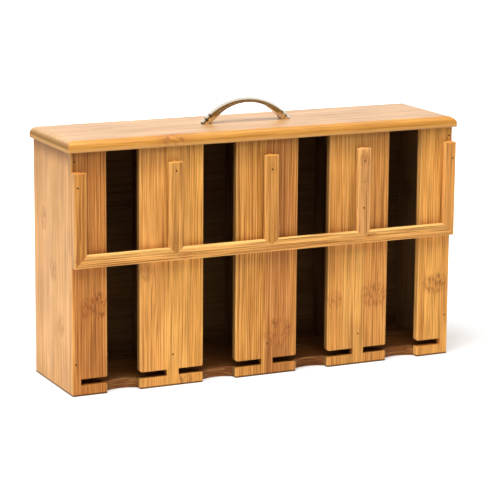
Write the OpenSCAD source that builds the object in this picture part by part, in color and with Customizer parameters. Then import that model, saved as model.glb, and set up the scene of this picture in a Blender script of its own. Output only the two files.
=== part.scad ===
// Tea bag organizer box in laminated bamboo, for a worktop.
// Four compartments stand side by side. Each is filled from above, under a hinged lid with a bow handle,
// shows its stack through a tall window, and gives out its lowest bag through a slot over the base board.
// A frame of rebated slats across the front holds one bag of each kind as a label.
// Frame: +X to the right seen from the front, +Y to the back, +Z up, millimetres.
// Origin: the centre of the box's footprint, on the surface that it stands on.

/* [Box] */
// Width over the two side panels
body_w = 340; // [330:1:350]
// Depth from the faces of the front boards to the face of the back panel
body_d = 84.5; // [75:0.5:100]
// Height of the box without its lid
body_h = 195; // [185:1:230]
// Distance from one compartment's window to the next
pitch = 84; // [82:0.5:85]
// Thickness of the side, front and back boards
board_t = 6; // [5:0.5:8]
// Thickness of the dividers
divider_t = 5; // [4:0.5:7]
// Depth of the housings that the dividers stand in
housing_d = 2; // [1:0.5:3]
// Rounding of the outer edges
ease_r = 1; // [0.5:0.1:1.5]
// Rounding of the edges that the box stands on
foot_r = 0.8; // [0.4:0.1:1.2]

/* [Base and slots] */
// Thickness of the base board, and height of the tabs under the slots
base_t = 8.5; // [7:0.5:12]
// Clear height of each outlet slot
slot_h = 5.4; // [5:0.1:9]
// Length of each outlet slot
slot_w = 74; // [68:1:76]
// Width of each window
window_w = 29; // [24:0.5:36]
// How far the three middle front boards sit to the left of the dividers' middles
boards_left = 1; // [0:0.5:2]
// Rounding where a window meets its slot
window_corner_r = 1.8; // [1:0.1:2.5]
// Depth of the finger notch in the base board under each window
notch_d = 4.5; // [3:0.5:8]

/* [Label holder] */
// Height of the rail, and width of the two end uprights
rail_h = 10.4; // [9:0.1:14]
// Height of the rail's lower edge above the table
rail_z = 104.4; // [90:0.1:120]
// Height of the uprights' tops above the table
upright_top = 183.5; // [150:0.5:186]
// How much shorter the left end upright is
left_short = 3.5; // [0:0.5:5]
// Width of the three middle uprights
upright_w = 12; // [11:0.5:16]
// Length of their points
point_l = 4.5; // [3:0.5:6]
// How far the frame stands out of the front boards
frame_t = 7; // [6:0.5:9]
// Thickness of the slats' front lips
lip_t = 3.5; // [3:0.25:4.5]
// How far a lip laps over a bag's edge
lap = 4; // [3:0.5:4.5]

/* [Lid] */
// Thickness of the lid board
lid_t = 8.7; // [8:0.1:14]
// Overhang at both ends
end_overhang = 3.4; // [2:0.1:6]
// Overhang at the front
front_overhang = 2.8; // [2:0.1:6]
// Quarter round along the lid's front and ends
lid_round = 7.2; // [3:0.1:7.5]
// Rounding of the lid's upper edge at the back
lid_back_round = 3; // [1:0.5:5]
// Rounding of the lid's corners, seen from above
lid_corner_r = 2; // [1:0.5:4]
// Rounding of the lid's lower edges
lid_low_r = 0.5; // [0.3:0.1:0.8]
// Air under the closed lid
lid_gap = 0.3; // [0.3:0.1:0.6]

/* [Handle] */
// Length of the bow handle over its feet
handle_l = 83; // [76:0.5:90]
// Height of the bow above the lid
handle_h = 19.8; // [17:0.1:24]
// Width of the bow, from front to back
handle_w = 7; // [6:0.5:10]
// How far its outer face is crowned
handle_crown = 2.2; // [1.5:0.1:2.6]
// Thickness of the bow at its top
handle_top_t = 3.7; // [3.2:0.1:4.5]
// Length of each foot on the lid
handle_foot = 9.7; // [9:0.1:11]
// How far the bow sits to the left of the lid's middle
handle_left = 1.3; // [0:0.1:3]

/* [Hinges] */
// Distance of each hinge from the middle of the box
hinge_x = 100; // [60:5:130]
// Length of a hinge
hinge_l = 26; // [24:1:30]
// Thickness of a leaf
leaf_t = 0.9; // [0.8:0.1:1.2]
// Radius of the knuckles
knuckle_r = 1.8; // [1.7:0.1:2.2]
// Radius of the pin
pin_r = 0.9; // [0.8:0.05:1]

/* [Brads] */
// Height of the lower brad in each front board, from the left
brad_low = [26, 26, 26, 26, 34]; // [20:1:40]
// Height of the upper brads in the two end boards
brad_high = 188; // [180:1:190]
// Height of the brad in each upright, from the left
brad_frame = [168.5, 176.5, 172, 173, 170]; // [160:0.5:177]
// Height of the second brad in the right-hand middle upright
brad_frame_low = 134; // [125:1:140]
// Radius of a brad
brad_r = 0.6; // [0.5:0.05:0.8]

/* [Hidden] */

$fn = 48;
cut = 1;             // how far a cutting shape runs past the solid it cuts

// Planes of the box
side_x = body_w / 2;                 // outer faces of the side panels
inner_x = side_x - board_t;          // inner faces of the side panels
front_y = -body_d / 2;               // faces of the front boards
inner_front_y = front_y + board_t;   // backs of the front boards
back_y = body_d / 2;                 // face of the back panel
inner_back_y = back_y - board_t;     // front of the back panel
slot_top = base_t + slot_h;
last_board = 4;

// Finger notch: an arc across the window, notch_d deep
notch_r = (pow(window_w / 2, 2) + pow(notch_d, 2)) / (2 * notch_d);

// Label frame
frame_y = front_y - frame_t;         // front faces of the slats
ledge_y = frame_y + lip_t;           // backs of the lips
rail_top = rail_z + rail_h;
ledge_h = rail_h - lap;              // height of the ledge that a bag stands on

// Lid
lid_z = body_h + lid_gap;
lid_top = lid_z + lid_t;
lid_front_y = front_y - front_overhang;
lid_side_x = side_x + end_overhang;

// Bow handle: an outer and an inner circle, both centred under the lid's top
handle_outer_r = bow_radius(handle_l / 2, handle_h);
handle_inner_r = bow_radius(handle_l / 2 - handle_foot, handle_h - handle_top_t);
handle_crown_r = bow_radius(handle_w / 2, handle_crown);
handle_y = 0;                        // over the middle of the box
bead_r = 0.8;                        // radius of the grooves between the beads at each foot
bead_steps = [1.8, 6.5, 11.2];       // their distances from the foot, along the bow
handle_screw_x = (handle_l - handle_foot) / 2;
handle_screw_r = 1.45;
handle_screw_in = 2.5;               // length of the screw inside the foot
handle_head_r = 3.2;
handle_head_t = 1.8;
handle_recess_l = 3.8;               // cross recess of the handle's screws
handle_recess_w = 0.9;
handle_recess_d = 0.8;
fit = 0.05;                          // radial clearance of screws and of the pin in the lid's knuckles

// Hinges: both leaves lie in the joint between the box and the lid, with the knuckles behind the box
axis_y = back_y + knuckle_r + 0.1;
axis_z = body_h + lid_gap / 2;
leaf_w = axis_y - inner_back_y;      // from the pin's axis to the leaf's front edge
knuckle_gap = 0.2;                   // between neighbouring knuckles
knuckle_x = hinge_l / 6;             // ends of the middle knuckle
knuckle_room = 0.3;                  // clearance of the other leaf round a knuckle
pin_fit = 0.03;                      // radial clearance of the pin in the body's knuckles
pin_head_r = 1.4;
pin_head_t = 0.6;
leaf_screw_x = 8.5;
leaf_screw_y = back_y - board_t / 2;
leaf_screw_r = 0.9;
leaf_screw_head_r = 1.75;
leaf_screw_in = 6;                   // length of the screw below the leaf
recess_l = 1.9;                      // cross recess of the hinge screws
recess_w = 0.4;
recess_d = 0.4;

// Brads: sunk a little below the surface
brad_head_r = 0.8;
brad_head_t = 0.8;
brad_sink = 0.3;
brad_in = 7;                         // how far the points reach behind the front boards
brad_side_x = side_x - board_t / 2;
brad_xs = [-brad_side_x, -pitch, 0, pitch, brad_side_x];
board_brad_marks = concat(
    [for (k = [0 : last_board]) [brad_xs[k], brad_low[k]]],
    [[-brad_side_x, brad_high], [brad_side_x, brad_high]]
);
frame_brad_marks = concat(
    [for (k = [0 : last_board]) [brad_xs[k], brad_frame[k]]],
    [[pitch, brad_frame_low]]
);

bamboo_front = [0.80, 0.55, 0.29];
bamboo_side = [0.86, 0.67, 0.45];
bamboo_lid = [0.88, 0.66, 0.44];
bamboo_frame = [0.85, 0.60, 0.33];
steel = [0.78, 0.78, 0.76];

// Middle of window i, with i from 0 to 3
function window_x(i) = (i - 1.5) * pitch;

// Left and right edges of front board i, with i from 0 to 4
function board_shift(i) = i == 0 || i == last_board ? 0 : boards_left;
function board_left(i) = i == 0 ? -side_x : window_x(i - 1) + window_w / 2 - board_shift(i);
function board_right(i) = i == last_board ? side_x : window_x(i) - window_w / 2 - board_shift(i);

// The part of front board i that no slot cuts: the web between two slots, or the margin at an end
function web_left(i) = i == 0 ? -side_x : window_x(i - 1) + slot_w / 2;
function web_right(i) = i == last_board ? side_x : window_x(i) - slot_w / 2;

// Middle of divider i and of middle upright i, with i from 1 to 3
function divider_x(i) = (i - 2) * pitch;

// Radius of an arc that is 2 * half long on its chord and rise high
function bow_radius(half, rise) = (half * half + rise * rise) / (2 * rise);

// What a rounded corner leaves of a square corner at the origin, in the first quadrant
module corner_waste(r) {
    difference() {
        translate([-cut, -cut]) square(r + cut);
        translate([r, r]) circle(r);
    }
}

// Rectangle from the origin, with a radius for each corner: low left, low right, high right, high left
module cornered_rect(w, h, radii) {
    corners = [[0, 0], [w, 0], [w, h], [0, h]];
    difference() {
        square([w, h]);
        for (k = [0 : 3])
            if (radii[k] > 0)
                translate(corners[k]) rotate(90 * k) corner_waste(radii[k]);
    }
}

// Lifts a drawing in the X-Z plane to a plate from y0 to y1
module plate_y(y0, y1) {
    translate([0, y1, 0]) rotate([90, 0, 0]) linear_extrude(y1 - y0) children();
}

// Turns a drawing in the Y-Z plane to a bar from x0 to x1
module bar_x(x0, x1) {
    translate([x0, 0, 0]) rotate([90, 0, 90]) linear_extrude(x1 - x0) children();
}

module block(low, high) {
    translate(low) cube(high - low);
}

// Leaves what is drawn for the left (-1) as it is, and mirrors it for the right (1)
module on_side(side) {
    if (side > 0)
        mirror([1, 0, 0]) children();
    else
        children();
}

// ---- Carcass ----

// Base board between the side panels, housed for the dividers, with an arc cut under each window
module base_board() {
    color(bamboo_side)
    difference() {
        block([-inner_x, inner_front_y, 0], [inner_x, inner_back_y, base_t]);
        for (i = [0 : 3])
            translate([window_x(i), inner_front_y + notch_d - notch_r, -cut])
                cylinder(r = notch_r, h = base_t + 2 * cut, $fn = 96);
        for (i = [1 : 3])
            block([divider_x(i) - divider_t / 2, inner_front_y - cut, base_t - housing_d],
                  [divider_x(i) + divider_t / 2, inner_back_y + cut, base_t + cut]);
    }
}

// Side panel at the left (-1) or the right (1), with its outer back and lower edges eased
module side_panel(side) {
    depth = back_y - inner_front_y;
    bore_x = side < 0 ? -side_x : inner_x;
    color(bamboo_side)
    difference() {
        on_side(side) intersection() {
            translate([-side_x, inner_front_y, 0])
                linear_extrude(body_h) cornered_rect(board_t, depth, [0, 0, 0, ease_r]);
            plate_y(inner_front_y, back_y)
                translate([-side_x, 0]) cornered_rect(board_t, body_h, [foot_r, 0, 0, 0]);
            bar_x(-side_x, -inner_x)
                translate([inner_front_y, 0]) cornered_rect(depth, body_h, [0, foot_r, 0, 0]);
        }
        brad_bores(bore_x, bore_x + board_t);
    }
}

// Back panel between the side panels, housed for the dividers and cut down for the hinges' leaves
module back_panel() {
    color(bamboo_side)
    difference() {
        bar_x(-inner_x, inner_x)
            translate([inner_back_y, 0]) cornered_rect(board_t, body_h, [0, foot_r, 0, 0]);
        for (i = [1 : 3])
            block([divider_x(i) - divider_t / 2, inner_back_y - cut, base_t - housing_d],
                  [divider_x(i) + divider_t / 2, inner_back_y + housing_d, body_h + cut]);
        for (side = [-1, 1]) {
            block([side * hinge_x - hinge_l / 2, inner_back_y - cut, body_h - leaf_t],
                  [side * hinge_x + hinge_l / 2, back_y + cut, body_h + cut]);
            leaf_screw_places(side, -1) screw_bore();
        }
    }
}

// Divider i, standing in its housings in the base board and the back panel
module divider(i) {
    left = divider_x(i) - divider_t / 2;
    right = divider_x(i) + divider_t / 2;
    color(bamboo_side)
    difference() {
        block([left, inner_front_y, base_t - housing_d], [right, inner_back_y + housing_d, body_h]);
        brad_bores(left, right);
    }
}

// Face of front board i: a plate down to the slots, a web between them, and a tab under them
module front_board_face(i) {
    x0 = board_left(i);
    w = board_right(i) - x0;
    r_left = i == 0 ? 0 : 1;
    r_right = i == last_board ? 0 : 1;
    corner = window_corner_r;
    tab = ease_r;
    translate([x0, slot_top])
        cornered_rect(w, body_h - slot_top, [corner * r_left, corner * r_right, 0, 0]);
    translate([x0, 0])
        cornered_rect(w, base_t, [foot_r, foot_r, tab * r_right, tab * r_left]);
    translate([web_left(i), foot_r])
        square([web_right(i) - web_left(i), body_h - foot_r]);
}

// Front board i, its face cut through and its two front edges and its front lower edge eased
module front_board(i) {
    color(bamboo_front)
    difference() {
        intersection() {
            plate_y(front_y, inner_front_y) front_board_face(i);
            translate([board_left(i), front_y, -cut])
                linear_extrude(body_h + 2 * cut)
                    cornered_rect(board_right(i) - board_left(i), board_t, [ease_r, ease_r, 0, 0]);
            bar_x(-side_x - cut, side_x + cut)
                translate([front_y, 0]) cornered_rect(board_t, body_h, [foot_r, 0, 0, 0]);
        }
        brad_bores(board_left(i), board_right(i));
    }
}

// ---- Brads ----

// Puts children on a face at y, one at each mark between x0 and x1
module at_marks(marks, y, x0, x1) {
    for (m = marks)
        if (m.x > x0 && m.x < x1)
            translate([m.x, y, m.y]) rotate([-90, 0, 0]) children();
}

// Brad pointing into the wood, reach deep, with its head sunk below the face at the start
module brad(reach) {
    translate([0, 0, brad_sink]) {
        cylinder(r = brad_head_r, h = brad_head_t);
        cylinder(r = brad_r, h = reach - brad_sink);
    }
}

// Hole that a brad leaves. The brad's head rests on the step in it.
module brad_hole(reach) {
    translate([0, 0, -cut]) cylinder(r = brad_head_r + fit, h = cut + brad_sink + brad_head_t);
    cylinder(r = brad_r + fit, h = reach + fit);
}

// Holes for the brads between x0 and x1
module brad_bores(x0, x1) {
    at_marks(board_brad_marks, front_y, x0, x1) brad_hole(board_t + brad_in);
    at_marks(frame_brad_marks, frame_y, x0, x1) brad_hole(frame_t + board_t + brad_in);
}

// Brads that hold the front boards to the side panels and the dividers
module board_brads() {
    color(steel)
    at_marks(board_brad_marks, front_y, -side_x, side_x) brad(board_t + brad_in);
}

// Brads that hold the uprights to the front boards and to what stands behind them
module frame_brads() {
    color(steel)
    at_marks(frame_brad_marks, frame_y, -side_x, side_x) brad(frame_t + board_t + brad_in);
}

// ---- Label holder ----

// Section of the rail in the Y-Z plane: a full-height lip in front of a lower ledge
module rail_section() {
    translate([frame_y, rail_z]) cornered_rect(lip_t, rail_h, [ease_r, 0, 0, ease_r]);
    translate([ledge_y, rail_z]) square([front_y - ledge_y, ledge_h]);
}

// Left end upright in the X-Z plane: its foot is cut at 45 degrees from its inner side down to the corner
module mitre_face(top) {
    polygon([[-side_x, rail_z], [-side_x + rail_h, rail_top], [-side_x + rail_h, top], [-side_x, top]]);
}

// Middle upright in the X-Z plane: its foot ends in a point
module arrow_face() {
    half = upright_w / 2;
    polygon([[0, rail_top - point_l], [half, rail_top], [half, upright_top],
             [-half, upright_top], [-half, rail_top]]);
}

// Block that an upright from x0 to x1 is cut from, with its top edge eased at the front and the ends
module upright_stock(x0, x1, top) {
    h = top - rail_z;
    intersection() {
        bar_x(x0, x1)
            translate([frame_y, rail_z]) cornered_rect(frame_t, h, [0, 0, 0, ease_r]);
        plate_y(frame_y, front_y)
            translate([x0, rail_z]) cornered_rect(x1 - x0, h, [0, 0, ease_r, ease_r]);
    }
}

// Section of the left end upright in the X-Y plane: the lip laps over the bag on one side
module end_upright_section() {
    translate([-side_x, frame_y]) cornered_rect(rail_h, lip_t, [ease_r, ease_r, 0, 0]);
    translate([-side_x, ledge_y]) square([rail_h - lap, front_y - ledge_y]);
}

// Section of a middle upright in the X-Y plane: the lip laps over a bag on either side
module middle_upright_section() {
    translate([-upright_w / 2, frame_y]) cornered_rect(upright_w, lip_t, [ease_r, ease_r, 0, 0]);
    translate([lap - upright_w / 2, ledge_y]) square([upright_w - 2 * lap, front_y - ledge_y]);
}

// Rail with mitred ends, and a notch for the point of each middle upright
module label_rail() {
    color(bamboo_frame)
    difference() {
        bar_x(-side_x, side_x) rail_section();
        plate_y(frame_y - cut, front_y + cut) {
            mitre_face(upright_top);
            mirror([1, 0]) mitre_face(upright_top);
            for (i = [1 : 3])
                translate([divider_x(i), 0]) arrow_face();
        }
    }
}

// End upright at the left (-1) or the right (1), up to its top
module end_upright(side, top) {
    bore_x = side < 0 ? -side_x : side_x - rail_h;
    color(bamboo_frame)
    difference() {
        on_side(side) intersection() {
            translate([0, 0, rail_z]) linear_extrude(top - rail_z) end_upright_section();
            plate_y(frame_y - cut, front_y + cut) mitre_face(top);
            upright_stock(-side_x, -side_x + rail_h, top);
        }
        brad_bores(bore_x, bore_x + rail_h);
    }
}

// Middle upright i, with i from 1 to 3
module middle_upright(i) {
    color(bamboo_frame)
    difference() {
        translate([divider_x(i), 0, 0])
        intersection() {
            translate([0, 0, rail_z]) linear_extrude(upright_top - rail_z) middle_upright_section();
            plate_y(frame_y - cut, front_y + cut) arrow_face();
            upright_stock(-upright_w / 2, upright_w / 2, upright_top);
        }
        brad_bores(divider_x(i) - upright_w / 2, divider_x(i) + upright_w / 2);
    }
}

// ---- Lid ----

// Lid board: three extrusions meet, so that the quarter rounds run into each other at the front corners
module lid_board() {
    depth = back_y - lid_front_y;
    color(bamboo_lid)
    difference() {
        intersection() {
            bar_x(-lid_side_x, lid_side_x)
                translate([lid_front_y, lid_z])
                    cornered_rect(depth, lid_t, [lid_low_r, 0, lid_back_round, lid_round]);
            plate_y(lid_front_y, back_y)
                translate([-lid_side_x, lid_z])
                    cornered_rect(2 * lid_side_x, lid_t, [lid_low_r, lid_low_r, lid_round, lid_round]);
            translate([-lid_side_x, lid_front_y, lid_z])
                linear_extrude(lid_t)
                    cornered_rect(2 * lid_side_x, depth, [lid_corner_r, lid_corner_r, ease_r, ease_r]);
        }
        for (side = [-1, 1]) {
            block([side * hinge_x - hinge_l / 2, inner_back_y - knuckle_gap, lid_z - cut],
                  [side * hinge_x + hinge_l / 2, back_y + cut, lid_z + leaf_t]);
            leaf_screw_places(side, 1) screw_bore();
            handle_screw_place(side) handle_screw_shape(fit, lid_t + cut, cut);
        }
    }
}

// ---- Handle ----

// Section of the bow out to its rim, with the distance from the bow's middle along X: flat sides and a crown
module bow_section() {
    translate([0, -handle_w / 2]) square([handle_outer_r - handle_crown, handle_w]);
    intersection() {
        translate([0, -handle_w / 2]) square([handle_outer_r, handle_w]);
        translate([handle_outer_r - handle_crown_r, 0]) circle(handle_crown_r, $fn = 96);
    }
}

// Groove between two beads: a ring that follows the crown over the bow
module bead_groove() {
    rotate_extrude($fn = 96) translate([handle_crown_r, 0]) circle(bead_r);
}

// Bow handle: a crowned disc less a smaller plain one, cut off at the lid, with beads at its feet
module handle() {
    outer_z = lid_top + handle_h - handle_outer_r;
    inner_z = lid_top + handle_h - handle_top_t - handle_inner_r;
    foot_angle = asin(handle_l / 2 / handle_outer_r);
    color(steel)
    difference() {
        translate([-handle_left, handle_y, outer_z])
            rotate([90, 0, 0]) rotate_extrude($fn = 180) bow_section();
        translate([-handle_left, handle_y + handle_w, inner_z]) rotate([90, 0, 0])
            cylinder(r = handle_inner_r, h = 2 * handle_w, $fn = 180);
        translate([-body_w, -body_w, lid_top - 2 * body_w]) cube(2 * body_w);
        for (side = [-1, 1]) {
            for (step = bead_steps)
                translate([-handle_left, handle_y, outer_z])
                    rotate([0, side * (foot_angle - step / handle_outer_r * 180 / PI), 0])
                        translate([0, 0, handle_outer_r - handle_crown_r])
                            rotate([0, 90, 0]) bead_groove();
            handle_screw_place(side) handle_screw_shape(fit, lid_t + handle_screw_in + fit, cut);
        }
    }
}

// Puts a screw of the handle on the lid's underside, pointing up
module handle_screw_place(side) {
    translate([side * handle_screw_x - handle_left, handle_y, lid_z]) children();
}

// Countersunk screw, or with grow its clearance hole. The head seats in the cone, and the hole opens by lead.
module handle_screw_shape(grow, length, lead) {
    shank = length - handle_head_t;
    translate([0, 0, -lead]) cylinder(r = handle_head_r, h = lead);
    cylinder(r1 = handle_head_r, r2 = handle_screw_r, h = handle_head_t);
    translate([0, 0, handle_head_t - fit]) cylinder(r = handle_screw_r + grow, h = shank + fit);
}

// The two countersunk screws that hold the handle, put in from the lid's underside
module handle_screws() {
    color(steel)
    for (side = [-1, 1])
        handle_screw_place(side) difference() {
            handle_screw_shape(0, lid_t + handle_screw_in, 0);
            for (turn = [0, 90])
                rotate(turn) cube([handle_recess_l, handle_recess_w, 2 * handle_recess_d], center = true);
        }
}

// ---- Hinges ----

// Puts children on the axis of the left (-1) or right (1) hinge
module hinge_place(side) {
    translate([side * hinge_x, axis_y, axis_z]) children();
}

// A bar round the pin's axis, from x0 to x1
module round_x(r, x0, x1) {
    translate([x0, 0, 0]) rotate([0, 90, 0]) cylinder(r = r, h = x1 - x0);
}

// Puts children at the two screws of a leaf, where it meets the wood. Up is 1 in the lid and -1 in the box.
module leaf_screw_places(side, up) {
    face = up > 0 ? lid_z + leaf_t : body_h - leaf_t;
    for (s = [-1, 1])
        translate([side * hinge_x + s * leaf_screw_x, leaf_screw_y, face])
            rotate([up > 0 ? 0 : 180, 0, 0]) children();
}

// Hole for a hinge screw in the wood
module screw_bore() {
    translate([0, 0, -cut]) cylinder(r = leaf_screw_r + fit, h = leaf_screw_in + cut + fit);
}

// Hinge screw with a cross recess. Its head fills the leaf's countersink.
module hinge_screw() {
    difference() {
        union() {
            translate([0, 0, -leaf_t]) cylinder(r1 = leaf_screw_head_r, r2 = leaf_screw_r, h = leaf_t);
            cylinder(r = leaf_screw_r, h = leaf_screw_in);
        }
        for (turn = [0, 90])
            translate([0, 0, -leaf_t]) rotate(turn) cube([recess_l, recess_w, 2 * recess_d], center = true);
    }
}

// The box's leaf of one hinge, round the pin's axis, with its own knuckles and cut back for the others
module hinge_leaf(own, other, bore_r) {
    gap = lid_gap / 2;
    difference() {
        union() {
            block([-hinge_l / 2, -leaf_w, -gap - leaf_t], [hinge_l / 2, 0, -gap]);
            for (k = own)
                round_x(knuckle_r, k[0], k[1]);
        }
        round_x(bore_r, -hinge_l, hinge_l);
        for (k = other)
            round_x(knuckle_r + knuckle_room, k[0] - knuckle_gap, k[1] + knuckle_gap);
        for (s = [-1, 1])
            translate([s * leaf_screw_x, leaf_screw_y - axis_y, -gap - leaf_t])
                cylinder(r1 = leaf_screw_r, r2 = leaf_screw_head_r, h = leaf_t);
    }
}

end_knuckles = [[-hinge_l / 2, -knuckle_x - knuckle_gap], [knuckle_x + knuckle_gap, hinge_l / 2]];
middle_knuckle = [[-knuckle_x, knuckle_x]];

// Leaf let into the top of the back panel, with the two end knuckles
module hinge_body_leaf(side) {
    color(steel)
    hinge_place(side) hinge_leaf(end_knuckles, middle_knuckle, pin_r + pin_fit);
}

// Leaf let into the lid's underside, with the middle knuckle
module hinge_lid_leaf(side) {
    color(steel)
    hinge_place(side) mirror([0, 0, 1]) hinge_leaf(middle_knuckle, end_knuckles, pin_r + fit);
}

// Pin, headed at both ends
module hinge_pin(side) {
    reach = hinge_l / 2 + fit;
    color(steel)
    hinge_place(side) {
        round_x(pin_r, -reach, reach);
        round_x(pin_head_r, -reach - pin_head_t, -reach);
        round_x(pin_head_r, reach, reach + pin_head_t);
    }
}

// The screws of both hinges in the back panel (up = -1) or in the lid (up = 1)
module hinge_screws(up) {
    color(steel)
    for (side = [-1, 1])
        leaf_screw_places(side, up) hinge_screw();
}

base_board();
side_panel(-1);  // left_side_panel
side_panel(1);  // right_side_panel
back_panel();
divider(1);  // divider_1
divider(2);  // divider_2
divider(3);  // divider_3
front_board(0);  // front_board_1
front_board(1);  // front_board_2
front_board(2);  // front_board_3
front_board(3);  // front_board_4
front_board(4);  // front_board_5
label_rail();
end_upright(-1, upright_top - left_short);  // label_upright_1
middle_upright(1);  // label_upright_2
middle_upright(2);  // label_upright_3
middle_upright(3);  // label_upright_4
end_upright(1, upright_top);  // label_upright_5
board_brads();
frame_brads();
hinge_body_leaf(-1);  // hinge_body_leaf_left
hinge_body_leaf(1);  // hinge_body_leaf_right
hinge_pin(-1);  // hinge_pin_left
hinge_pin(1);  // hinge_pin_right
hinge_screws(-1);  // hinge_body_screws
lid_board();
hinge_lid_leaf(-1);  // hinge_lid_leaf_left
hinge_lid_leaf(1);  // hinge_lid_leaf_right
hinge_screws(1);  // hinge_lid_screws
handle();
handle_screws();
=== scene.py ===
import math

import bpy
import numpy as np
from mathutils import Matrix, Vector


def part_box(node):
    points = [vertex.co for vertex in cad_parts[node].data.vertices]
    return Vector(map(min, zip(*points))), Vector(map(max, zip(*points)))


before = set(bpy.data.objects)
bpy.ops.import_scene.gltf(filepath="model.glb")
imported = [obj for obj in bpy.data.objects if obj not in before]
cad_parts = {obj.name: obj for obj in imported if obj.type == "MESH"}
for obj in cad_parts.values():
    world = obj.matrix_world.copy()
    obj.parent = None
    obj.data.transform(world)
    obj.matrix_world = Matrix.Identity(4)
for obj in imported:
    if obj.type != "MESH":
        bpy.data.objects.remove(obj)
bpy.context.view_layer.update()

MM = 0.001                               # one millimetre, in metres
X, Y, Z = 0, 1, 2
WHITE = (1.0, 1.0, 1.0, 1.0)

# ---------------------------------------------------------------- colours, as plain sRGB bytes


def srgb(r, g, b):
    """Linear colour for sRGB bytes: c / 12.92 below 0.04045, otherwise ((c + 0.055) / 1.055) ** 2.4."""
    c = np.array([r, g, b]) / 255
    return tuple(np.where(c <= 0.04045, c / 12.92, ((c + 0.055) / 1.055) ** 2.4)) + (1.0,)


def dimmed(tone, share):
    """Linear colour for a tone whose sRGB bytes are each taken times the share."""
    return srgb(*[share * byte for byte in tone])


# ---------------------------------------------------------------- wiring shader nodes


class Wiring:
    """A node tree under construction: each method adds what it needs and gives back the output."""

    def __init__(self, tree):
        self.tree = tree
        tree.nodes.clear()
        self.coords = tree.nodes.new("ShaderNodeTexCoord")

    def plug(self, socket, value):
        """Links an output to a socket, or writes a number or a colour on it."""
        if value is None:
            return
        if isinstance(value, bpy.types.NodeSocket):
            self.tree.links.new(value, socket)
        else:
            socket.default_value = value

    def math(self, operation, a, b=None, c=None):
        node = self.tree.nodes.new("ShaderNodeMath")
        node.operation = operation
        for socket, value in zip(node.inputs, (a, b, c)):
            self.plug(socket, value)
        return node.outputs[0]

    def times(self, a, b):
        return self.math("MULTIPLY", a, b)

    def minus(self, a, b):
        return self.math("SUBTRACT", a, b)

    def vector(self, x, y, z):
        node = self.tree.nodes.new("ShaderNodeCombineXYZ")
        for socket, value in zip(node.inputs, (x, y, z)):
            self.plug(socket, value)
        return node.outputs[0]

    def axes(self, source):
        node = self.tree.nodes.new("ShaderNodeSeparateXYZ")
        self.plug(node.inputs[0], source)
        return list(node.outputs)

    def millimetres(self):
        """X, Y and Z on the object, in millimetres."""
        return [self.times(axis, 1 / MM) for axis in self.axes(self.coords.outputs["Object"])]

    def drawn_out(self, u, v, per_mm, depth):
        """A place for noise to be looked up at: u and v, each times its own rate, and a depth."""
        return self.vector(self.times(u, per_mm[0]), self.times(v, per_mm[1]), depth)

    def noise(self, vector, scale=1.0, detail=2.0, roughness=0.5, distortion=0.0):
        node = self.tree.nodes.new("ShaderNodeTexNoise")
        self.plug(node.inputs["Vector"], vector)
        node.inputs["Scale"].default_value = scale
        node.inputs["Detail"].default_value = detail
        node.inputs["Roughness"].default_value = roughness
        node.inputs["Distortion"].default_value = distortion
        return node.outputs["Fac"]

    def cells(self, vector, scale):
        """The distance to the nearest of many scattered points."""
        node = self.tree.nodes.new("ShaderNodeTexVoronoi")
        self.plug(node.inputs["Vector"], vector)
        node.inputs["Scale"].default_value = scale
        return node.outputs["Distance"]

    def ramp(self, value, stops, steps=False):
        """A colour for the value, from (place, colour) stops. With steps, each holds up to the next one."""
        node = self.tree.nodes.new("ShaderNodeValToRGB")
        node.color_ramp.interpolation = "CONSTANT" if steps else "LINEAR"
        elements = node.color_ramp.elements
        while len(elements) < len(stops):
            elements.new(0.5)
        for element, (place, colour) in zip(elements, stops):
            element.position = place
            element.color = colour
        self.plug(node.inputs[0], value)
        return node.outputs[0]

    def between(self, value, low, high, start=0.0, end=1.0):
        """Start at low and end at high, with a smooth passage, and level beyond them."""
        node = self.tree.nodes.new("ShaderNodeMapRange")
        node.interpolation_type = "SMOOTHSTEP"
        for socket, number in zip(node.inputs, (value, low, high, start, end)):
            self.plug(socket, number)
        return node.outputs[0]

    def mix(self, amount, a, b, how="MIX"):
        node = self.tree.nodes.new("ShaderNodeMix")
        node.data_type = "RGBA"
        node.blend_type = how
        self.plug(node.inputs[0], amount)
        self.plug(node.inputs[6], a)
        self.plug(node.inputs[7], b)
        return node.outputs[2]

    def oval(self, u, v, centre, radii, way_in):
        """0 outside an oval, and 1 from the share way_in of the way to its middle, with a smooth passage."""
        place = self.tree.nodes.new("ShaderNodeMapping")
        place.inputs["Location"].default_value = [-c / r for c, r in zip(centre, radii)] + [0.0]
        place.inputs["Scale"].default_value = [1 / r for r in radii] + [1.0]
        self.plug(place.inputs["Vector"], self.vector(u, v, 0.0))
        ball = self.tree.nodes.new("ShaderNodeTexGradient")
        ball.gradient_type = "SPHERICAL"
        self.plug(ball.inputs[0], place.outputs[0])
        return self.between(ball.outputs["Fac"], 0.0, way_in)

    def seen_rays(self):
        """1 for what the camera sees, also by way of a mirror or glass, and 0 for light on dull surfaces."""
        rays = self.tree.nodes.new("ShaderNodeLightPath").outputs
        first = self.math("MAXIMUM", rays["Is Glossy Ray"], rays["Is Transmission Ray"])
        return self.math("MAXIMUM", rays["Is Camera Ray"], first)


class Finish(Wiring):
    """A new material with a single shader."""

    def __init__(self, name):
        self.material = bpy.data.materials.new(name)
        self.material.use_nodes = True
        super().__init__(self.material.node_tree)
        out = self.tree.nodes.new("ShaderNodeOutputMaterial")
        self.shader = self.tree.nodes.new("ShaderNodeBsdfPrincipled")
        self.tree.links.new(self.shader.outputs[0], out.inputs[0])

    def set(self, **values):
        """Plugs the shader's sockets. An underscore in a name stands for a space."""
        for name, value in values.items():
            self.plug(self.shader.inputs[name.replace("_", " ")], value)

    def bump(self, height, distance, strength):
        node = self.tree.nodes.new("ShaderNodeBump")
        node.inputs["Strength"].default_value = strength
        node.inputs["Distance"].default_value = distance
        self.plug(node.inputs["Height"], height)
        self.set(Normal=node.outputs[0])


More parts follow.
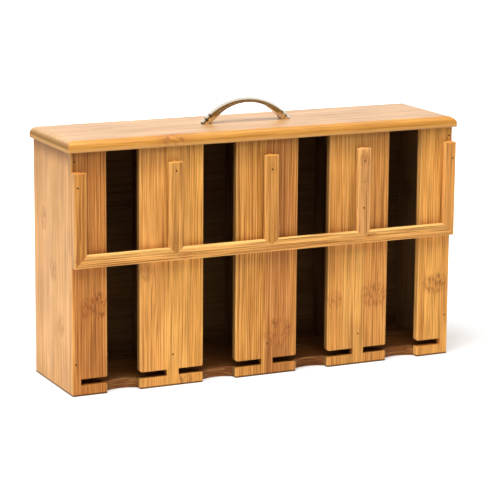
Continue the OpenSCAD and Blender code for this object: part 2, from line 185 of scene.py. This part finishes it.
def clothe(node_name, material):
    """Gives a CAD node's object the material on every slot."""
    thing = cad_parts[node_name]
    thing.data.materials.clear()
    thing.data.materials.append(material)


# ---------------------------------------------------------------- laminated bamboo

PALE_FIBRE = (250, 200, 124)
JOINT_BLOTCH = (168, 98, 44)
JOINT_FLECK = (112, 62, 28)
# pale edges: partly wear, partly a painted highlight where rounded edges would catch the light
WORN_AND_LIT_EDGE = (246, 190, 112)
DULL_PATCH = (230, 226, 224)             # times the wood's colour, where it has drifted furthest
PAINTED_SHADE_BROWN = (58, 34, 18)                  # the brown of painted shade: inside the box, under the lid, on the jambs and along the foot

# Noise is drawn out along a board: these are its rates per millimetre, across the board and along it. Shift
# tells one kind of line from another.
FINE_FIBRES = dict(per_mm=(1.5, 0.013), shift=0.0, detail=3.0, roughness=0.6)
FIBRE_BUNDLES = dict(per_mm=(0.62, 0.006), shift=5.7)
WIDE_BANDS = dict(per_mm=(0.2, 0.003), shift=11.3)
WANDER_PER_MM = (0.03, 0.012)
DRIFT_PER_MM, DRIFT_SHIFT = (0.05, 0.02), 4.1
FLECKS_PER_MM = (0.85, 0.15)
LINES_INTO_WOOD = 0.35                   # how fast the lines change from the face into the wood, per mm

WANDER_MM = 2.2                          # how far the fibres wander to the side
FLECK_LEAN = 0.45                        # sideways per upwards, at a joint's edge
BLOTCH_SHARE, FLECK_SHARE = 0.35, 0.85   # how far a joint of full strength takes the colour to its own
DEEP_SHARE = 0.8                         # the finest fibres, beside the streaks' own tone
GAP_SHARE = 0.62                         # the end grain's dark gaps, beside the streaks' own tone
END_DOTS_PER_MM = 1.25
WORN_AND_LIT_EDGE_MM = (0.1, 1.3)                # an edge is fully paled, by wear and a painted highlight, up to the first, and not beyond the second
FIBRE_RELIEF, METAL_RELIEF = 0.00006, 0.00001  # in metres


def fibre_sway(finish, u, v, seed, figure):
    """Where a fibre would lie across the board if it were straight.

    It is the place across plus a slow noise. In a figure, given as (across, along, half width, half height,
    slope), the fibres run to a point: they are also moved by the height over the figure's foot times the
    slope, to either side of its middle.
    """
    slow = finish.noise(finish.drawn_out(u, v, WANDER_PER_MM, seed))
    sway = finish.math("MULTIPLY_ADD", slow, WANDER_MM, u)
    if figure:
        middle_u, middle_v, half_width, half_height, slope = figure
        inside = finish.oval(u, v, (middle_u, middle_v), (half_width, half_height), 0.7)
        side = finish.between(u, middle_u - 0.5 * half_width, middle_u + 0.5 * half_width, -slope, slope)
        rise = finish.minus(v, middle_v - half_height)
        sway = finish.minus(sway, finish.times(finish.times(rise, side), inside))
    return sway


def wood_lines(finish, sway, v, w, seed, per_mm, shift, detail=2.0, roughness=0.5):
    """Noise drawn out along the board: one kind of line in the wood."""
    depth = finish.math("MULTIPLY_ADD", w, LINES_INTO_WOOD, seed + shift)
    return finish.noise(finish.drawn_out(sway, v, per_mm, depth), 1.0, detail, roughness)


def stalk_joints(finish, colour, u, v, marks, seed):
    """Adds the joints of the stalk: rows of short dark flecks over a soft blotch.

    Each mark is (across, along, half width, half height, strength), in millimetres. The flecks are noise that
    is drawn out upwards, and they lean outwards as they rise: the place across is taken less the place above
    the mark's middle, times the place beside its middle, times the lean.
    """
    for number, (middle_u, middle_v, half_width, half_height, strength) in enumerate(marks):
        soft = finish.oval(u, v, (middle_u, middle_v), (half_width, half_height), 0.45)
        aside = finish.times(finish.minus(u, middle_u), FLECK_LEAN / half_width)
        upright_u = finish.minus(u, finish.times(aside, finish.minus(v, middle_v)))
        flecks = finish.noise(finish.drawn_out(upright_u, v, FLECKS_PER_MM, seed + number), distortion=0.15)
        ink = finish.times(soft, finish.between(flecks, 0.49, 0.62))
        colour = finish.mix(finish.times(soft, BLOTCH_SHARE * strength), colour, srgb(*JOINT_BLOTCH))
        colour = finish.mix(finish.times(ink, FLECK_SHARE * strength), colour, srgb(*JOINT_FLECK))
    return colour


def bamboo(name, node_name, across, along, strips, streak_tone, streaks=1.0, marks=(), figure=None,
           rough=0.36, sheen_level=0.12, seed=0.0, rim=0.35, veils=(), end_tone=0.93):
    """Bamboo strips glued side by side, for one board.

    Across is the axis on which the strips stand side by side, and along is the one that they run along.
    Strips is a list of (place in millimetres, colour) in rising order: a strip goes from its place to the
    next. Streak tone is the colour of the dark fibres, and streaks is how strongly they show. Marks and
    figure are as in stalk_joints and fibre_sway. Rough and sheen level are the shader's roughness and
    specular level. Rim is how far the edges along the strips are paled, by wear and by a painted highlight.
    Veils is a list of (axis, start, end, amount, tint): from start to end along the axis, in millimetres,
    the colour goes over to the tint, up to the amount; most veils are painted shade. End tone is how bright
    the end grain is beside the first strip.
    """
    low, high = ([float(value / MM) for value in corner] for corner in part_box(node_name))
    finish = Finish(name)
    place = finish.millimetres()
    u, v, w = place[across], place[along], place[3 - across - along]

    # strips of their own tone
    width = high[across] - low[across]
    stops = [(max(0.0, (at - low[across]) / width), srgb(*tone)) for at, tone in strips]
    colour = finish.ramp(finish.math("DIVIDE", finish.minus(u, low[across]), width), stops, True)

    # dark and pale lines over them: where each begins to show, where it is full, and its share of the colour
    sway = fibre_sway(finish, u, v, seed, figure)
    fine, bundle, band = (wood_lines(finish, sway, v, w, seed, **kind)
                          for kind in (FINE_FIBRES, FIBRE_BUNDLES, WIDE_BANDS))
    for lines, begins, full, share, tint in ((band, 0.48, 0.68, 0.14, srgb(*streak_tone)),
                                             (bundle, 0.5, 0.64, 0.2, srgb(*streak_tone)),
                                             (fine, 0.47, 0.62, 0.88, dimmed(streak_tone, DEEP_SHARE)),
                                             (fine, 0.47, 0.34, 0.35, srgb(*PALE_FIBRE))):
        colour = finish.mix(finish.times(finish.between(lines, begins, full), share * streaks), colour, tint)
    drift = finish.noise(finish.drawn_out(u, v, DRIFT_PER_MM, seed + DRIFT_SHIFT))
    colour = finish.mix(1.0, colour, finish.ramp(drift, [(0.3, srgb(*DULL_PATCH)), (0.7, WHITE)]), "MULTIPLY")
    colour = stalk_joints(finish, colour, u, v, marks, seed)

    # end grain: fibre bundles as dots, on faces across the strips' run
    normal = finish.axes(finish.coords.outputs["Normal"])[along]
    facing = finish.between(finish.math("ABSOLUTE", normal), 0.55, 0.95)
    dots = finish.between(finish.cells(finish.vector(u, 0.0, w), END_DOTS_PER_MM), 0.18, 0.42)
    ends = finish.mix(dots, dimmed(streak_tone, GAP_SHARE), dimmed(strips[0][1], end_tone))
    colour = finish.mix(facing, colour, ends)

    # edges paled by wear and by a painted highlight, and the changes of tone along an axis, most of them
    # painted shade
    if rim:
        to_edge = finish.math("MINIMUM", finish.minus(u, low[across]), finish.minus(high[across], u))
        near = finish.between(to_edge, *WORN_AND_LIT_EDGE_MM, 1.0, 0.0)
        colour = finish.mix(finish.times(near, rim), colour, srgb(*WORN_AND_LIT_EDGE))
    for axis, start, end, amount, tint in veils:
        colour = finish.mix(finish.between(place[axis], start, end, 0.0, amount), colour, srgb(*tint))

    # pale fibres are a little glossier than dark ones, and end grain is dull
    polish = finish.between(fine, 0.35, 0.7, rough - 0.04, rough + 0.08)
    finish.set(Base_Color=colour, Roughness=finish.math("MULTIPLY_ADD", facing, 0.3, polish), IOR=1.5,
               Specular_IOR_Level=sheen_level)
    finish.bump(finish.math("ADD", fine, finish.times(dots, finish.times(facing, 0.5))), FIBRE_RELIEF, 0.6)
    return finish.material


# The front boards' strips stand side by side along X and run up. Each has painted shade under the lid and a
# painted contact shadow along its foot. The middle three have painted shade on their window jambs, which
# also darkens their backs. The outer two have painted shade on their backs, where the side panels meet them.
DARK_STREAK = (178, 108, 46)
# veils of painted shade: under the lid, a contact shadow along the foot, on the jambs, on the backs
painted_shade_under_lid = (Z, 166, 190, 0.28, PAINTED_SHADE_BROWN)
painted_foot_shadow = (Z, 1.9, 0.9, 0.85, PAINTED_SHADE_BROWN)
painted_jamb_shade = (Y, -41.4, -39.6, 0.66, PAINTED_SHADE_BROWN)
painted_back_shade = (Y, -36.8, -36.4, 0.6, PAINTED_SHADE_BROWN)

front_boards = {
    "front_board_1": dict(
        strips=[(-170, (208, 136, 65)), (-163.4, (196, 124, 57)), (-156, (203, 131, 61)),
                (-147, (206, 134, 63))],
        streak_tone=(146, 82, 34), streaks=0.85,
        marks=[(-158, 71, 7, 10, 0.9), (-147, 72, 10, 13, 1.0)], veils=[painted_shade_under_lid, painted_back_shade, painted_foot_shadow]),
    "front_board_2": dict(
        strips=[(-112.5, (234, 166, 85)), (-91, (244, 178, 89)), (-70, (240, 172, 83))],
        streak_tone=DARK_STREAK, streaks=0.8, figure=(-101, 62, 8, 42, 0.04),
        marks=[(-107, 97, 9, 12, 0.35), (-74, 4, 9, 7, 0.6)], veils=[painted_shade_under_lid, painted_jamb_shade, painted_foot_shadow]),
    "front_board_3": dict(
        strips=[(-28.5, (217, 151, 71)), (-2.4, (198, 129, 65)), (20, (214, 145, 71))],
        streak_tone=(168, 100, 40), streaks=0.9,
        marks=[(10, 34, 16, 16, 0.75)], veils=[painted_shade_under_lid, painted_jamb_shade, painted_foot_shadow]),
    "front_board_4": dict(
        strips=[(55.5, (220, 152, 73)), (68.8, (233, 170, 87)), (88.7, (227, 157, 79))],
        streak_tone=DARK_STREAK, streaks=0.85,
        marks=[(61, 57, 10, 10, 0.55), (98, 58, 15, 14, 0.65)], veils=[painted_shade_under_lid, painted_jamb_shade, painted_foot_shadow]),
    "front_board_5": dict(
        strips=[(140.5, (235, 165, 79)), (146.5, (245, 177, 87)), (163, (240, 170, 83))],
        streak_tone=DARK_STREAK, streaks=0.85,
        marks=[(157, 62, 15, 11, 0.75)], veils=[painted_shade_under_lid, painted_back_shade, painted_foot_shadow]),
}
for number, (node_name, look) in enumerate(front_boards.items()):
    clothe(node_name, bamboo("front_bamboo_%d" % (number + 1), node_name, X, Z, seed=3.7 * number, **look))

# The insides are darkened with painted shade. Outside, the sides are the palest faces of the box; they get
# painted shade towards the top, a painted shadow under the lid and a painted contact shadow at the foot.
side_strips = [(-36.3, (241, 186, 124)), (-18, (236, 180, 116)), (2, (244, 190, 130)), (21, (234, 177, 114))]
side_marks = [(19, 133, 9, 12, 0.5), (-1, 96, 9, 13, 0.55), (-17, 53, 9, 12, 0.5)]
# painted shade: darker towards the top, and a painted shadow right under the lid
painted_shade_towards_top = (Z, 60, 185, 0.14, (150, 100, 50))
lid_shadow = (Z, 180, 196, 0.7, (116, 66, 26))
for side, node_name in ((-1, "left_side_panel"), (1, "right_side_panel")):
    # painted shade on the panel's inner face
    painted_inside_shade = (X, side * 166.0, side * 164.2, 0.7, PAINTED_SHADE_BROWN)
    clothe(node_name, bamboo("side_bamboo_" + node_name.split("_")[0], node_name, Y, Z, side_strips,
                             (200, 132, 70), 0.65, side_marks, seed=21.0 + len(node_name), rim=0.25,
                             rough=0.5, veils=[painted_inside_shade, painted_shade_towards_top, lid_shadow, painted_foot_shadow]))

# The back's strips lie: each starts at a height above the table.
back_strips = [(0, (221, 160, 96)), (22, (228, 170, 106)), (44, (216, 156, 92)), (67, (226, 168, 104)),
               (89, (220, 160, 96)), (112, (230, 172, 108)), (133, (218, 158, 92)), (155, (226, 166, 102)),
               (177, (222, 162, 98))]
# painted shade on the back's inner face, and a painted contact shadow along its foot
clothe("back_panel", bamboo("back_bamboo", "back_panel", Z, X, back_strips, (180, 116, 60), 0.7, seed=31.0,
                            veils=[(Y, 38.0, 36.4, 0.85, PAINTED_SHADE_BROWN), painted_foot_shadow]))

# The base's dark tone is painted shade inside the box and under the arches; its top face gets more painted
# shade.
shaded_base_strips = [(0, (132, 78, 32)), (200, (132, 78, 32))]
clothe("base_board", bamboo("base_bamboo", "base_board", Z, X, shaded_base_strips, (92, 52, 20), 0.7, seed=37.0,
                            rim=0.0, veils=[(Z, 7.6, 8.4, 0.6, PAINTED_SHADE_BROWN)]))

# The dividers' dark tones are painted shade inside the box.
shaded_divider_strips = [(-36.3, (104, 64, 32)), (-13, (98, 60, 30)), (10, (106, 66, 34))]
for number in (1, 2, 3):
    node_name = "divider_%d" % number
    clothe(node_name, bamboo("divider_bamboo_%d" % number, node_name, Y, Z, shaded_divider_strips, (72, 42, 20), 0.8,
                             seed=41.0 + number))

# Each upright is a single strip: its tone, its streaks' tone, how strongly they show, and its marks.
uprights = [
    ((203, 136, 63), (152, 90, 37), 0.95, [(-166, 112, 4, 5, 0.8)]),
    ((218, 154, 77), (168, 104, 45), 0.9, []),
    ((214, 148, 71), (164, 98, 43), 0.9, [(0, 173, 5, 5, 0.3)]),
    ((229, 167, 97), (174, 108, 57), 0.85, [(84, 174, 6, 8, 0.6), (84, 146, 5, 22, 0.2)]),
    ((228, 158, 79), (174, 108, 51), 0.8, []),
]
for number, (tone, streak_tone, streaks, marks) in enumerate(uprights):
    node_name = "label_upright_%d" % (number + 1)
    clothe(node_name, bamboo("upright_bamboo_%d" % (number + 1), node_name, X, Z, [(-200, tone), (200, tone)],
                             streak_tone, streaks, marks, seed=53.0 + number, rim=0.3))
rail_strips = [(104, (234, 170, 92)), (109.5, (242, 180, 100)), (113.4, (254, 204, 122))]
rail_marks = [(110, 92, 3, 8, 0.8), (108, -75, 3, 10, 0.6)]
clothe("label_rail", bamboo("rail_bamboo", "label_rail", Z, X, rail_strips, (172, 102, 32), 1.0, rail_marks,
                            seed=61.0, rim=0.3))

# The lid's first strip is its rounded front, which is browner than the rest. Its edge is paler low down.
lid_strips = [(-45.1, (206, 145, 62)), (-38, (204, 160, 112)), (-16, (199, 155, 104)), (6, (206, 162, 114)),
              (27, (199, 155, 106))]
pale_low_edge = (Z, 198.5, 197.9, 0.45, (236, 178, 104))
brown_front = (Y, -43.2, -44.8, 0.36, (158, 104, 42))
# painted shade on the lid's underside and its lowest edge
painted_underside_shade = (Z, 196.1, 195.3, 0.3, PAINTED_SHADE_BROWN)
lid_marks = [(-43, -85, 7, 16, 0.7), (8, -124, 4, 11, 0.5)]
clothe("lid_board", bamboo("lid_bamboo", "lid_board", Y, X, lid_strips, (164, 102, 38), 0.5, lid_marks,
                           seed=71.0, rough=0.34, sheen_level=0.5, rim=0.0, end_tone=0.66,
                           veils=[pale_low_edge, brown_front, painted_underside_shade]))

# ---------------------------------------------------------------- metal

# Rates of the noise per metre: along the way that the metal was drawn, across it, and on undrawn metal
ALONG_THE_DRAW, ACROSS_THE_DRAW, SPECKS = 60.0, 4000.0, 900.0
# painted shade in the handle's bead grooves
GROOVE_SHADE = (44, 36, 28)


def metal(name, tone, rough, grain_axis=None, grain=0.0, grooves=None):
    """Metal with fine drawn lines along one axis, or with specks if no axis is given.

    The lines move the tone a little, and the roughness by up to the grain. Grooves is a function that takes
    the finish and gives how much painted shade lies at a place, from 0 to 1.
    """
    finish = Finish(name)
    place = finish.axes(finish.coords.outputs["Object"])
    if grain_axis is not None:
        stretched = [finish.times(axis, ALONG_THE_DRAW if number == grain_axis else ACROSS_THE_DRAW)
                     for number, axis in enumerate(place)]
        lines = finish.noise(finish.vector(*stretched))
    else:
        lines = finish.noise(finish.coords.outputs["Object"], SPECKS, 3.0)
    colour = finish.mix(finish.between(lines, 0.3, 0.7), dimmed(tone, 0.93), srgb(*tone))
    polish = finish.between(lines, 0.3, 0.7, rough, rough + grain)
    if grooves:
        dark = grooves(finish)
        colour = finish.mix(dark, colour, srgb(*GROOVE_SHADE))
        polish = finish.math("MULTIPLY_ADD", dark, 0.4, polish)
    finish.set(Base_Color=colour, Roughness=polish, Metallic=1.0)
    finish.bump(lines, METAL_RELIEF, 0.3)
    return finish.material


BOW_X, BOW_Z = -1.3, 170.41              # the middle of the bow's outer circle
BOW_RADIUS = 53.39
BOW_HALF_LENGTH = 41.5                   # along X, from the bow's middle to the end of a foot
BEAD_STEPS = (1.8, 6.5, 11.2)            # from a foot's end to each groove, along the bow
GROOVE_DARKNESS = 0.9
GROOVE_CORE, GROOVE_EDGE = 0.35, 0.85    # half the width of the darkest part, and of the whole groove
GROOVE_DEPTH = (3.4, 2.6)                # the dark ends this far into the bow, and is full up to here


def bead_grooves(finish):
    """Painted shade in the grooves between the beads at the handle's feet.

    How far a place is from the foot, along the bow, is the outer radius times the angle that is left to go:
    the half angle of the bow less the angle between the place and the vertical through the bow's middle.
    """
    x, _, z = finish.millimetres()
    aside = finish.math("ABSOLUTE", finish.minus(x, BOW_X))
    above = finish.minus(z, BOW_Z)
    half_angle = math.asin(BOW_HALF_LENGTH / BOW_RADIUS)
    along = finish.times(finish.minus(half_angle, finish.math("ARCTAN2", aside, above)), BOW_RADIUS)
    lines = None
    for step in BEAD_STEPS:
        away = finish.math("ABSOLUTE", finish.minus(along, step))
        line = finish.between(away, GROOVE_CORE, GROOVE_EDGE, GROOVE_DARKNESS, 0.0)
        lines = line if lines is None else finish.math("MAXIMUM", lines, line)
    squares = finish.math("ADD", finish.math("POWER", aside, 2.0), finish.math("POWER", above, 2.0))
    starts, full = (BOW_RADIUS - depth for depth in GROOVE_DEPTH)
    return finish.times(lines, finish.between(finish.math("SQRT", squares), starts, full))


hinge_pieces = ("hinge_body_leaf_left", "hinge_body_leaf_right", "hinge_pin_left", "hinge_pin_right",
                "hinge_body_screws", "hinge_lid_leaf_left", "hinge_lid_leaf_right", "hinge_lid_screws")
nickel = metal("satin_nickel", (240, 230, 212), 0.08, Y, 0.06, bead_grooves)
hinge_steel = metal("hinge_steel", (196, 190, 180), 0.28, X, 0.15)
brad_steel = metal("brad_steel", (92, 66, 44), 0.5, None, 0.2)
clothe("handle", nickel)
for node_name in hinge_pieces + ("handle_screws",):
    clothe(node_name, hinge_steel)
for node_name in ("board_brads", "frame_brads"):
    clothe(node_name, brad_steel)

# ---------------------------------------------------------------- floor, light and camera


def studio_floor():
    """A flat white sheet at the height that the box stands on. It ends in front of the box, as a table does.

    Near the box it shows its own light and shadow. Further off it is plain white, seen or mirrored.
    """
    side, front, back = 2.5, -0.9, 3
    mesh = bpy.data.meshes.new("studio_floor")
    corners = [(-side, front, 0), (side, front, 0), (side, back, 0), (-side, back, 0)]
    mesh.from_pydata(corners, [], [(0, 1, 2, 3)])
    floor = bpy.data.objects.new("studio_floor", mesh)
    bpy.context.collection.objects.link(floor)
    finish = Finish("floor_white")
    reach = finish.tree.nodes.new("ShaderNodeVectorMath")
    reach.operation = "LENGTH"
    finish.plug(reach.inputs[0], finish.coords.outputs["Object"])
    glow = finish.between(reach.outputs["Value"], 0.2, 0.7, 0.1, 1.0)
    finish.set(Base_Color=(0.86, 0.86, 0.86, 1), Roughness=0.8, Specular_IOR_Level=0.2, Emission_Color=WHITE,
               Emission_Strength=finish.times(finish.seen_rays(), glow))
    mesh.materials.append(finish.material)


def studio_world():
    """A white tent behind the box, beside it and over it, and a dim brown room in front of it.

    The camera itself sees white everywhere. What falls on dull surfaces is a soft grey light.
    """
    room_brown = (0.26, 0.13, 0.035, 1)
    world = bpy.data.worlds.new("studio")
    world.use_nodes = True
    bpy.context.scene.world = world
    wiring = Wiring(world.node_tree)
    nodes = wiring.tree.nodes
    behind = wiring.between(wiring.axes(wiring.coords.outputs["Generated"])[Y], -0.45, -0.05)
    white = wiring.math("MAXIMUM", behind, nodes.new("ShaderNodeLightPath").outputs["Is Camera Ray"])
    seen = nodes.new("ShaderNodeBackground")
    wiring.plug(seen.inputs["Color"], wiring.mix(white, room_brown, WHITE))
    fill = nodes.new("ShaderNodeBackground")
    fill.inputs["Color"].default_value = (1, 0.99, 0.97, 1)
    fill.inputs["Strength"].default_value = 0.15
    both = nodes.new("ShaderNodeMixShader")
    out = nodes.new("ShaderNodeOutputWorld")
    for socket, value in zip(both.inputs, (wiring.seen_rays(), fill.outputs[0], seen.outputs[0])):
        wiring.plug(socket, value)
    wiring.plug(out.inputs["Surface"], both.outputs[0])


def soft_lamp(name, place, target, size, power):
    """A flat lamp at a place, turned to a target. Sizes in metres, power in watts. No mirror shows it."""
    light = bpy.data.lights.new(name, "AREA")
    light.shape = "RECTANGLE"
    light.size, light.size_y = size
    light.energy = power
    lamp = bpy.data.objects.new(name, light)
    bpy.context.collection.objects.link(lamp)
    lamp.visible_glossy = False
    lamp.location = place
    lamp.rotation_euler = (Vector(target) - Vector(place)).to_track_quat("-Z", "Y").to_euler()


def photo_camera():
    """The photograph's viewpoint, fitted to the box's own edges: its place, its turn and its focal length."""
    stand = Vector((-776.76, -1636.49, 485.47)) * MM
    azimuth, elevation, roll = math.radians(-25.5015), math.radians(12.1302), math.radians(0.4621)
    focal_px, image_px, sensor_mm = 2237.10, 500, 36
    back = Vector((math.sin(azimuth) * math.cos(elevation), -math.cos(azimuth) * math.cos(elevation),
                   math.sin(elevation)))
    right = (-back).cross(Vector((0, 0, 1))).normalized()
    up = right.cross(-back)
    c, s = math.cos(roll), math.sin(roll)
    right, up = c * right + s * up, c * up - s * right
    data = bpy.data.cameras.new("photo_camera")
    data.sensor_width = sensor_mm
    data.lens = focal_px / image_px * sensor_mm
    data.clip_start, data.clip_end = 0.05, 50
    camera = bpy.data.objects.new("photo_camera", data)
    bpy.context.collection.objects.link(camera)
    camera.matrix_world = Matrix.Translation(stand) @ Matrix((right, up, back)).transposed().to_4x4()
    bpy.context.scene.camera = camera


studio_floor()
studio_world()
box_middle = (0, 0, 0.1)
soft_lamp("overhead_softbox", (-0.35, -0.5, 1.8), box_middle, (2.0, 1.7), 68)
soft_lamp("left_softbox", (-1.9, -0.7, 0.9), box_middle, (0.9, 0.9), 7)
photo_camera()

bpy.context.scene.view_settings.view_transform = "Standard"
